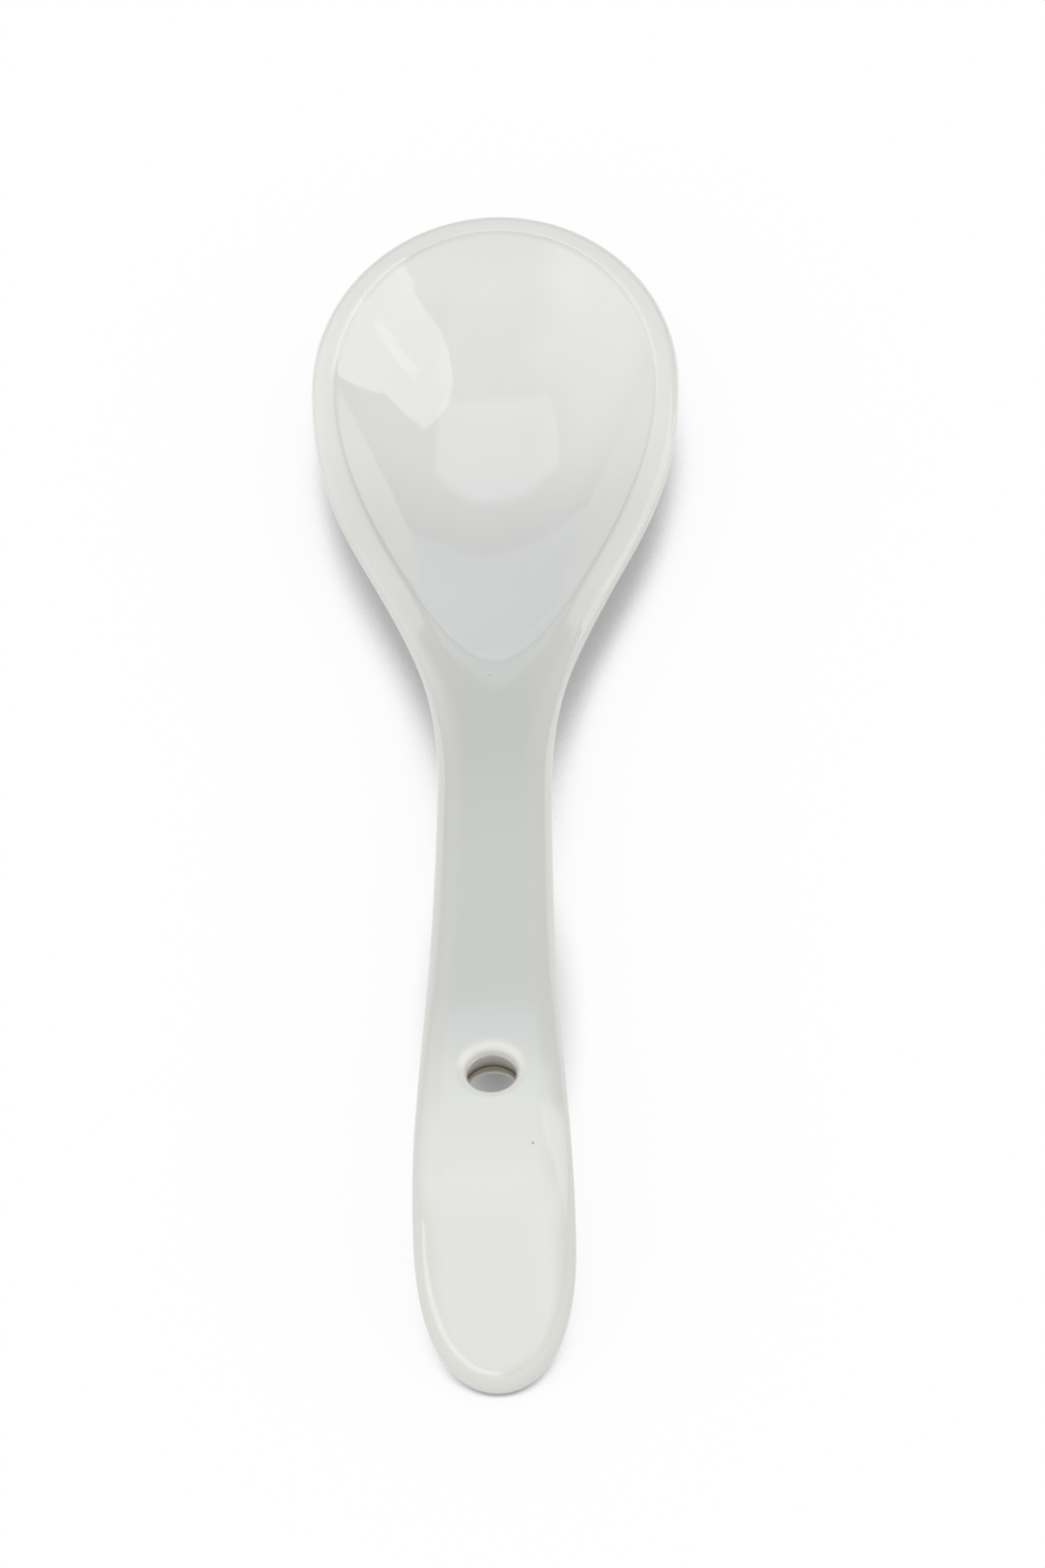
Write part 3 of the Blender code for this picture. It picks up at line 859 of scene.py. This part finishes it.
# %% Glaze colour
CLOUDS = (55.0, 3.0)
END_LIGHT_CLOUDING = (0.85, 1.15)
RIM_CLOUDING = (0.7, 1.3)
HOLLOW_LIGHT_CLOUDING = 0.1
RIM_SHARES = (0.75, 1.0)
HOLLOW_LIGHT_SHARES = (0.35, 0.95)
EDGE_LIGHT_SHARES = (0.22, 0.60)
HOLLOW_EDGE_RUN = (0.0, 0.03)
LIP_RUN = (0.0, 0.5)
STAIN_AND_SHADE_STRENGTH = 0.9
SPECK_STRENGTH = 0.7
SPECK_CORE = 0.5


def glaze_colour(start, place, along):
    cloud = noise(place, *CLOUDS)
    on_bowl = along.rise(RAMP_Y, POOL_Y)
    to_sides = along.rise(FAR_RIM_Y, SIDE_RIM_Y)
    # Painted shade: the neck greyer, darkest next to the bowl.
    colour = along.rise(NECK_SHADE_Y, NECK_TOP_SHADE_Y).mix(GLAZE_SHADED_NECK, GLAZE_SHADED_NECK_TOP)
    # Painted light: the end of the handle whiter, where light falls on it.
    run = along.rise(END_LIGHT_STARTS_Y, END_LIGHT_FULL_Y) * blend(*END_LIGHT_CLOUDING, cloud)
    colour = run.mix(colour, GLAZE_LIT_END)
    # The rim: warmer where the glaze thins, and whiter as a painted highlight.
    rim = (on_bowl * blend(*RIM_SHARES, to_sides)).mix(GLAZE_SHOULDER, GLAZE_THIN_RIM_AND_HIGHLIGHT)
    colour = (mark(start, "thinning") * blend(*RIM_CLOUDING, cloud)).mix(colour, rim)
    # Painted light and shade in the hollow: whiter inside it, greyer on the ramp and towards its far edge.
    pool = blend(*HOLLOW_LIGHT_SHARES, along.rise(FAR_HOLLOW_SHADE_Y, HOLLOW_SHADE_END_Y)) + cloud * HOLLOW_LIGHT_CLOUDING
    pool = (on_bowl * pool).mix(GLAZE_SHADED_RAMP, GLAZE_LIT_HOLLOW)
    colour = mark(start, "hollow").rise(*HOLLOW_EDGE_RUN).mix(colour, pool)
    # A line of painted light along the edge of the hollow.
    line = mark(start, "line") * on_bowl * blend(*EDGE_LIGHT_SHARES, to_sides)
    colour = line.mix(colour, GLAZE_EDGE_LIGHT)
    colour = mark(start, "lip").rise(*LIP_RUN).mix(colour, GLAZE_THIN_RIM_AND_HIGHLIGHT)
    # A brown trace at the near lip, and painted shade deep in the lower lip.
    colour = (mark(start, "stain") * STAIN_AND_SHADE_STRENGTH).mix(colour, STAIN_AND_SHADE_BROWN)
    for spot, size in SPECKS.items():
        away = start.vector("DISTANCE", place, spot)
        speck = (1 - away.rise(SPECK_CORE * size, size)) * SPECK_STRENGTH
        colour = speck.mix(colour, SPECK_BROWN)
    return colour


print(f"clouds in the glaze: about {1000 / CLOUDS[0]:.0f} mm wide")

# %% Glaze finish
SMEARS = (140.0, 4.0)
RIPPLES = (330.0, 1.0)
FINE_RIPPLES = (1500.0, 2.0)
FINE_RIPPLE_SHARE = 0.12
RIPPLE_BUMP = {"Strength": 0.06, "Distance": 0.0004}
GRIP_SHARES = (0.7, 1.0)
POLISH = 0.035
SMEAR_DULLS = 0.03
GRIP_DULLS = 0.15
GLAZE_IOR = 1.68


def make_glaze_finish():
    material, shader, start = new_material("white glaze")
    place = object_place(start)
    along = start.node("ShaderNodeSeparateXYZ", None, {0: place}, "Y")
    grip = along.rise(GRIP_STARTS_Y, GRIP_Y) * blend(*GRIP_SHARES, along.rise(END_Y, GRIP_ENDS_Y))
    ripple = noise(place, *RIPPLES) + noise(place, *FINE_RIPPLES) * FINE_RIPPLE_SHARE
    feed(
        shader,
        Base_Color=glaze_colour(start, place, along),
        Roughness=POLISH + noise(place, *SMEARS) * SMEAR_DULLS + grip * GRIP_DULLS,
        IOR=GLAZE_IOR,
        Normal=start.node("ShaderNodeBump", None, RIPPLE_BUMP | {"Height": ripple}),
    )
    return material


glaze_finish = make_glaze_finish()
print(f"glaze finish: {len(glaze_finish.node_tree.nodes)} nodes")

# %% [markdown]
# ## The bare porcelain
# Between the two glazed lips the wall of the bore is taken to be bare. Unglazed porcelain is matt and
# nearly white, a little grainy, with faint stains from use. Towards the lower mouth it is painted
# darker, as painted shade in the depth of the bore. One plain colour would do from afar, but without
# its grain so small a wall looks like plastic.

# %% Bare porcelain finish
PORCELAIN_CREAM = (0.88, 0.87, 0.84, 1)
PORCELAIN_STAIN = (0.78, 0.75, 0.69, 1)
# Painted shade for the depth of the bore
PORCELAIN_DEEP_SHADE = (0.42, 0.40, 0.36, 1)
STAINS = (700.0, 4.0)
GRAINS = (5200.0, 2.0)
STAIN_RUN = (0.42, 0.68)
STAIN_TINT, GRAIN_TINT = 0.6, 0.15
BARE_ROUGHNESS = (0.5, 0.7)
GRAIN_BUMP = {"Strength": 0.25, "Distance": 0.0001}


def make_porcelain_finish():
    material, shader, start = new_material("bare porcelain")
    place = object_place(start)
    stain = noise(place, *STAINS).rise(*STAIN_RUN)
    grain = noise(place, *GRAINS)
    colour = (stain * STAIN_TINT + grain * GRAIN_TINT).mix(PORCELAIN_CREAM, PORCELAIN_STAIN)
    feed(
        shader,
        # Painted shade: darker towards the lower mouth of the bore.
        Base_Color=mark(start, "stain").mix(colour, PORCELAIN_DEEP_SHADE),
        Roughness=blend(*BARE_ROUGHNESS, grain),
        Normal=start.node("ShaderNodeBump", None, GRAIN_BUMP | {"Height": grain}),
    )
    return material


porcelain_finish = make_porcelain_finish()
print(f"porcelain finish: {len(porcelain_finish.node_tree.nodes)} nodes")

# %% [markdown]
# ## Make the two pieces
# Each half skin is mirrored, bent by the tree and given its depth: the glaze gets its own thickness
# inwards, and the body is drawn in under the glaze. The result is turned into a plain mesh at the
# origin, rides on the one body of the frame and stands for its packed solid.

# %% Mirror, bend and seat
MERGE_DISTANCE = 2e-6
GLAZE_THICKNESS = 0.00025
GLAZE_GAP = 0.00005


def bent_piece(name, half, finish):
    """An object made of a half skin, its mirror image and the bend."""
    piece = bpy.data.objects.new(name, half)
    bpy.context.scene.collection.objects.link(piece)
    mirror = piece.modifiers.new("Other half", "MIRROR")
    mirror.merge_threshold = MERGE_DISTANCE
    bend = piece.modifiers.new("Bend", "NODES")
    for socket in bender.interface.items_tree:
        if socket.in_out == "INPUT" and socket.name in BEND_SIZES:
            bend[socket.identifier] = BEND_SIZES[socket.name]
        elif socket.name == "Finish":
            bend[socket.identifier] = finish
    bend.node_group = bender
    return piece


def made_plain(piece):
    """The same object with its modifiers worked into a plain mesh."""
    graph = bpy.context.evaluated_depsgraph_get()
    mesh = bpy.data.meshes.new_from_object(piece.evaluated_get(graph))
    piece.modifiers.clear()
    piece.data = mesh
    mesh.shade_smooth()
    return piece


def seat(piece, node):
    """The piece on the frame's one body, in place of its packed solid."""
    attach(piece, "root")
    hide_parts(node)
    triangles = sum(len(face.vertices) - 2 for face in piece.data.polygons)
    print(f"{piece.name}: {triangles} triangles")


glaze = bent_piece("glaze_skin", glaze_half, glaze_finish)
coat = glaze.modifiers.new("Glaze thickness", "SOLIDIFY")
coat.thickness = GLAZE_THICKNESS
coat.offset = -1.0
seat(made_plain(glaze), "glaze_coat")

body = bent_piece("porcelain_core", body_half, porcelain_finish)
inset = body.modifiers.new("Under the glaze", "DISPLACE")
inset.direction = "NORMAL"
inset.mid_level = 0.0
inset.strength = -(GLAZE_THICKNESS + GLAZE_GAP)
seat(made_plain(body), "porcelain_body")

# %% [markdown]
# ## The floor
# The spoon lies on a plain pale floor. The camera sees the floor white where it is open and shaded
# where the spoon keeps the light off it, which Ambient Occlusion measures. The hole looks down on the
# floor under the arch of the handle, where little light gets in, and a soft oval of shade darkens it
# there. Lamps alone could cast these shadows, but a floor lit up to white would throw so much light
# back at a white spoon that its underside would vanish.

# %% Floor
FLOOR_HALF = 3.0
FLOOR_COLOUR = (0.62, 0.62, 0.60, 1)
FLOOR_ROUGHNESS = 0.8
SHADOW_REACH = 0.03
SHADOW_SAMPLES = 16
OPEN_SHADE = 0.08
CONTACT_SHADE = 0.55
CONTACT_RUN = (0.40, 0.60)
UNDER_ARCH = (0.0, -0.026, 0.0)
ARCH_SHADE_SIZE = (0.0085, 0.024, 1.0)
ARCH_SHADE_RUN = (0.1, 1.0)
ARCH_SHADE = 0.76


def floor_light(start):
    """How bright the floor looks, where 1 is white."""
    reach = {"Distance": SHADOW_REACH}
    open_sky = start.node("ShaderNodeAmbientOcclusion", {"samples": SHADOW_SAMPLES}, reach, "AO")
    away = start.vector("SUBTRACT", object_place(start), UNDER_ARCH)
    away = start.vector("LENGTH", start.vector("DIVIDE", away, ARCH_SHADE_SIZE))
    light = 1 - (1 - open_sky) * OPEN_SHADE - (1 - open_sky.rise(*CONTACT_RUN)) * CONTACT_SHADE
    return light * (1 - (1 - away.rise(*ARCH_SHADE_RUN)) * ARCH_SHADE)


def make_floor_finish():
    material, shader, start = new_material("pale floor")
    rays = start.node("ShaderNodeLightPath", None, None, "Is Camera Ray")
    seen = rays.math("MAXIMUM", rays, rays.other("Is Glossy Ray"))
    seen = seen.math("MAXIMUM", seen, rays.other("Is Transmission Ray"))
    glow = start.node("ShaderNodeEmission", None, {"Color": floor_light(start)})
    feed(shader, Base_Color=FLOOR_COLOUR, Roughness=FLOOR_ROUGHNESS)
    lit = Wire(start.tree, shader.outputs[0])
    mixed = start.node("ShaderNodeMixShader", None, {0: seen, 1: lit, 2: glow})
    start.tree.links.new(mixed.socket, start.tree.nodes["Material Output"].inputs["Surface"])
    return material


def make_floor():
    corners = [(-1, -1), (1, -1), (1, 1), (-1, 1)]
    mesh = bpy.data.meshes.new("floor")
    mesh.from_pydata([(x * FLOOR_HALF, y * FLOOR_HALF, 0) for x, y in corners], [], [range(4)])
    mesh.materials.append(make_floor_finish())
    floor = bpy.data.objects.new("floor", mesh)
    bpy.context.scene.collection.objects.link(floor)
    floor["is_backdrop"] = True


make_floor()
print("floor:", 2 * FLOOR_HALF, "m wide")

# %% [markdown]
# ## The room
# A glossy bowl is a small curved mirror, so what it shows is the room around it. The room is drawn as
# a dim world. Soft ovals of light stand for the wall on the left, the ceiling, the wall behind the
# camera and a low cool glow ahead. Two windows have panes with straight borders, crisp on the right
# and softer ahead, where the light is cooler. Each border is a plane through the spoon, and a pane is
# what lies on the inner side of all of its borders. A room could be modelled instead, but beside so
# small a spoon only directions count. Azimuth 0 is ahead (+Y) and 90 is to the right (+X).

# %% Walls and windows
ROOM_LEVEL = 0.17
DAYLIGHT = (0.88, 0.98, 1.0)
LAMPLIGHT = (1.0, 1.0, 0.995)
ALL_ROUND = 999

# Azimuth, elevation, width and height in degrees, blur as a share of the size, level and colour
WALLS = {
    "left wall": (-80, 34, 96, 64, 0.5, 0.94, LAMPLIGHT),
    "ceiling": (0, 90, ALL_ROUND, 60, 0.2, 0.42, LAMPLIGHT),
    "rear wall": (180, 38, 140, 56, 0.3, 0.70, LAMPLIGHT),
    "low front": (-2, 1, 62, 52, 0.04, 0.44, DAYLIGHT),
}

# Corners of the panes as azimuth and elevation, anticlockwise as the spoon sees them
RIGHT_PANES = [
    [(109, 40), (104, 57), (80, 67), (51, 67), (33, 58), (37, 43), (59, 26), (112, 26)],
    [(112, 40), (58, 33), (56, 5), (118, 5)],
]
FRONT_PANES = [[(25, 36), (40, 57), (-44, 57), (-29, 36)]]

# Level, colour, blur of the borders and panes
WINDOWS = {
    "right window": (1.27, LAMPLIGHT, 0.012, RIGHT_PANES),
    "front window": (0.78, DAYLIGHT, 0.032, FRONT_PANES),
}


def direction(azimuth, elevation):
    """A unit vector from the spoon outwards."""
    turn, lift = math.radians(azimuth), math.radians(elevation)
    return Vector((math.sin(turn) * math.cos(lift), math.cos(turn) * math.cos(lift), math.sin(lift)))


def oval(turn, lift, azimuth, elevation, width, height, blur):
    """1 inside a soft oval of light and 0 outside it."""
    aside = turn.math("WRAP", turn - math.radians(azimuth), math.pi, -math.pi)
    aside = aside * (2 / math.radians(width))
    above = (lift - math.radians(elevation)) * (2 / math.radians(height))
    away = (aside**2 + above**2) ** 0.5
    return 1 - away.rise(1 - blur, 1 + blur)


def pane(toward, corners, blur):
    """1 inside a pane and 0 outside it."""
    inside = 1.0
    for corner, after in zip(corners, corners[1:] + corners[:1]):
        inward = direction(*after).cross(direction(*corner)).normalized()
        depth = toward.vector("DOT_PRODUCT", toward, tuple(inward))
        inside = depth.math("MINIMUM", depth.rise(-blur, blur), inside)
    return inside


print(f"{len(WALLS)} soft walls, {sum(len(panes) for *_, panes in WINDOWS.values())} panes")

# %% World
def make_world():
    world = bpy.data.worlds.new("studio")
    world.use_nodes = True
    start = Wire(world.node_tree)
    toward = start.node("ShaderNodeTexCoord", None, None, "Generated")
    east = start.node("ShaderNodeSeparateXYZ", None, {0: toward}, "X")
    turn = east.math("ARCTAN2", east, east.other("Y"))
    lift = east.math("ARCSINE", east.other("Z"))
    glow = (ROOM_LEVEL,) * 3
    for *shape, level, colour in WALLS.values():
        glow = start.vector("MULTIPLY_ADD", oval(turn, lift, *shape) * level, colour, glow)
    for level, colour, blur, panes in WINDOWS.values():
        window = 0.0
        for corners in panes:
            inside = pane(toward, corners, blur)
            window = inside.math("MAXIMUM", inside, window)
        glow = start.vector("MULTIPLY_ADD", window * level, colour, glow)
    rays = start.node("ShaderNodeLightPath", None, None, "Is Camera Ray")
    glow = start.vector("MAXIMUM", glow, rays)
    start.tree.links.new(glow.socket, start.tree.nodes["Background"].inputs["Color"])
    bpy.context.scene.world = world
    return world


print(f"room: {len(make_world().node_tree.nodes)} nodes for", [*WALLS, *WINDOWS])

# %% [markdown]
# ## The panels
# Three lamps add what the room lacks: a narrow streak inside the right window, a low bright strip
# behind the camera on the left, which draws the highlight along the end of the handle, and a large
# faint panel behind it on the right. They could be ovals of the room too, but the renderer aims at
# lamps, so that small bright ones leave less noise.

# %% Panels
PANEL_DISTANCE = 1.0
AIM_ASIDE = 0.00254
AIM_FROM_FRONT = 0.07247
AIM_HEIGHT = 0.009
AIM = Vector((AIM_ASIDE, FRONT_Y - AIM_FROM_FRONT, AIM_HEIGHT))

# Azimuth, elevation, width, height and roll in degrees, and brightness, where 1 is white
PANELS = {
    "window streak": (72, 37, 5, 27, -33, 0.6),
    "rear left panel": (-148, 5.5, 64, 11, 0, 2.3),
    "rear right panel": (146, 21, 48, 40, 0, 0.38),
}


def panel_side(angle):
    """Length of a side that the spoon sees at this angle."""
    return 2 * PANEL_DISTANCE * math.tan(math.radians(angle / 2))


def panel(name, azimuth, elevation, width, height, roll, level):
    """A panel that faces the spoon."""
    lamp = bpy.data.lights.new(name, "AREA")
    lamp.shape = "RECTANGLE"
    lamp.size, lamp.size_y = panel_side(width), panel_side(height)
    lamp.energy = level * math.pi * lamp.size * lamp.size_y
    lamp.color = LAMPLIGHT
    thing = bpy.data.objects.new(name, lamp)
    outward = direction(azimuth, elevation)
    thing.location = AIM + outward * PANEL_DISTANCE
    facing = outward.to_track_quat("Z", "Y") @ Quaternion((0, 0, 1), math.radians(roll))
    thing.rotation_euler = facing.to_euler()
    bpy.context.scene.collection.objects.link(thing)


for name, values in PANELS.items():
    panel(name, *values)

# %% [markdown]
# ## The camera
# The photograph looks down on the spoon from its handle end with a long lens, a little from the right
# and a little tilted. A Track To constraint could aim the camera, but it would lose the tilt, so the
# camera's own axes are worked out and turned.

# %% Camera
IMAGE_HEIGHT = 1800
FOCAL_PIXELS = 6938
CAMERA_DISTANCE = 0.560
CAMERA_AZIMUTH = 2.27
CAMERA_ELEVATION = 50.2
CAMERA_ROLL = -3.18
SENSOR = 36.0


def make_camera():
    data = bpy.data.cameras.new("camera")
    data.sensor_fit = "VERTICAL"
    data.sensor_height = SENSOR
    data.lens = SENSOR * FOCAL_PIXELS / IMAGE_HEIGHT
    camera = bpy.data.objects.new("camera", data)
    back = direction(180 - CAMERA_AZIMUTH, CAMERA_ELEVATION)
    right = Vector((0, 0, 1)).cross(back).normalized()
    turned = Matrix((right, back.cross(right), back)).transposed()
    roll = Matrix.Rotation(math.radians(CAMERA_ROLL), 3, "Z")
    camera.matrix_world = Matrix.Translation(AIM + back * CAMERA_DISTANCE) @ (turned @ roll).to_4x4()
    bpy.context.scene.collection.objects.link(camera)
    bpy.context.scene.camera = camera
    return data


print(f"lens {make_camera().lens:.1f} mm")

# %% [markdown]
# ## Finish
# Colours are shown as they are written, and the box of the dressed spoon is kept beside the box of
# the solids, because the dress must not change the size.

# %% View settings and sizes
bpy.context.scene.view_settings.view_transform = "Standard"
new_low, new_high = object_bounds()
sizes = {"cad": [list(cad_low), list(cad_high)], "visual": [list(new_low), list(new_high)]}
print(f"box grew by {max(new_high - cad_high) * 1000:.3f} mm at most")
